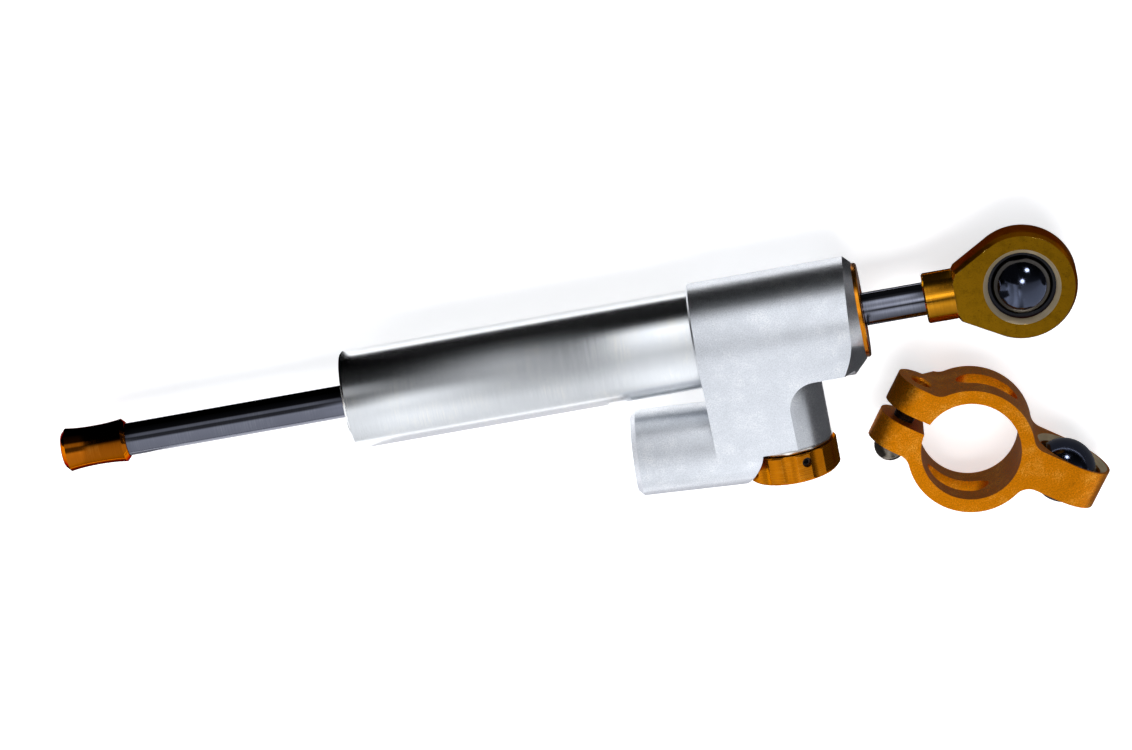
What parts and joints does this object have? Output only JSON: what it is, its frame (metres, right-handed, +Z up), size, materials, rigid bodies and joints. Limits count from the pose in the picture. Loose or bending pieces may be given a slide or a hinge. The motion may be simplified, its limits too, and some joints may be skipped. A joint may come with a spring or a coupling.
{
  "type": "motorcycle steering damper",
  "caption": "Linear steering damper with a through rod, a ball-joint eye, a head block with reservoir and adjuster knob, and a split frame clamp lying beside it.",
  "frame": {"origin": "on the rod's axis, in the middle of the tube's round clamp seat", "axes": "+X along the rod towards the eye, +Z up as the part lies flat, -Y towards the reservoir and the knob"},
  "size_m": [0.3104, 0.0915, 0.0356],
  "materials": {
    "alu_brushed": "turned and brushed",
    "alu_blasted": "fine blasted",
    "gold_turned": "turned, gold anodised",
    "gold_blasted": "blasted, orange-gold anodised",
    "gold_eye": "milled, old-gold anodised",
    "chrome_rod": "ground and chromed",
    "ball_steel": "polished",
    "race_steel": "turned",
    "black_steel": "black oxide",
    "screw_steel": "plain",
    "inner_steel": "machined",
    "bronze": "plain bearing",
    "rubber_black": "matt",
    "polymer_brown": "filled polymer"
  },
  "bodies": {
    "cylinder": {"cylinder_tube": "alu_brushed", "head_block": "alu_blasted", "head_cap": "gold_turned", "tube_gland": "inner_steel", "gland_circlip": "inner_steel", "gland_bush": "bronze", "cap_bush": "bronze", "gland_seal": "rubber_black", "cap_seal": "rubber_black", "gland_wiper": "rubber_black", "cap_wiper": "rubber_black", "gland_o_ring": "rubber_black", "cap_o_ring": "rubber_black", "reservoir_plug": "alu_brushed", "reservoir_spring": "inner_steel", "adjuster_collar": "alu_brushed", "detent_ball": "inner_steel", "detent_spring": "inner_steel"},
    "piston_ring": {"piston_band": "polymer_brown"},
    "rod": {"damper_rod": "chrome_rod", "piston": "inner_steel", "piston_circlips": "inner_steel", "rod_tip": "gold_turned", "rod_eye": "gold_eye", "eye_race": "race_steel"},
    "eye_bearing": {"eye_ball": "ball_steel"},
    "adjuster": {"adjuster_spindle": "inner_steel", "spindle_o_ring": "rubber_black", "adjuster_knob": "gold_blasted", "knob_grub_screw": "black_steel"},
    "floating": {"floating_piston": "inner_steel", "floating_o_ring": "rubber_black"},
    "clamp": {"clamp_ring": "gold_blasted", "clamp_race": "race_steel", "clamp_screw": "screw_steel"},
    "clamp_bearing": {"clamp_ball": "ball_steel"}
  },
  "joints": [
    {"name": "rod_slide", "type": "slide", "parent": "cylinder", "child": "piston_ring", "axis": [1, 0, 0], "range_m": [-0.015, 0.06]},
    {"name": "rod_turn", "type": "hinge", "parent": "piston_ring", "child": "rod", "pos_m": [0, 0, 0], "axis": [1, 0, 0], "continuous": true},
    {"name": "eye_swivel", "type": "hinge", "parent": "rod", "child": "eye_bearing", "pos_m": [0.1516, 0, 0], "axis": [1, 0, 0], "range_deg": [0, 105]},
    {"name": "adjuster_turn", "type": "hinge", "parent": "cylinder", "child": "adjuster", "pos_m": [0.0747, -0.04, 0], "axis": [0, -1, 0], "range_deg": [-160, 160]},
    {"name": "reservoir_slide", "type": "slide", "parent": "cylinder", "child": "floating", "axis": [0.9981, -0.061, 0], "range_m": [-0.003, 0.003], "stiffness_N_per_m": 1500, "deforming": ["reservoir_spring"]},
    {"name": "clamp_lift", "type": "slide", "parent": "cylinder", "child": "clamp", "axis": [0, 0, 1], "range_m": [0, 0.05]},
    {"name": "clamp_swivel", "type": "hinge", "parent": "clamp", "child": "clamp_bearing", "pos_m": [0.15432, -0.0626, -0.0053], "axis": [0, 0, 1], "range_deg": [0, 105]}
  ]
}
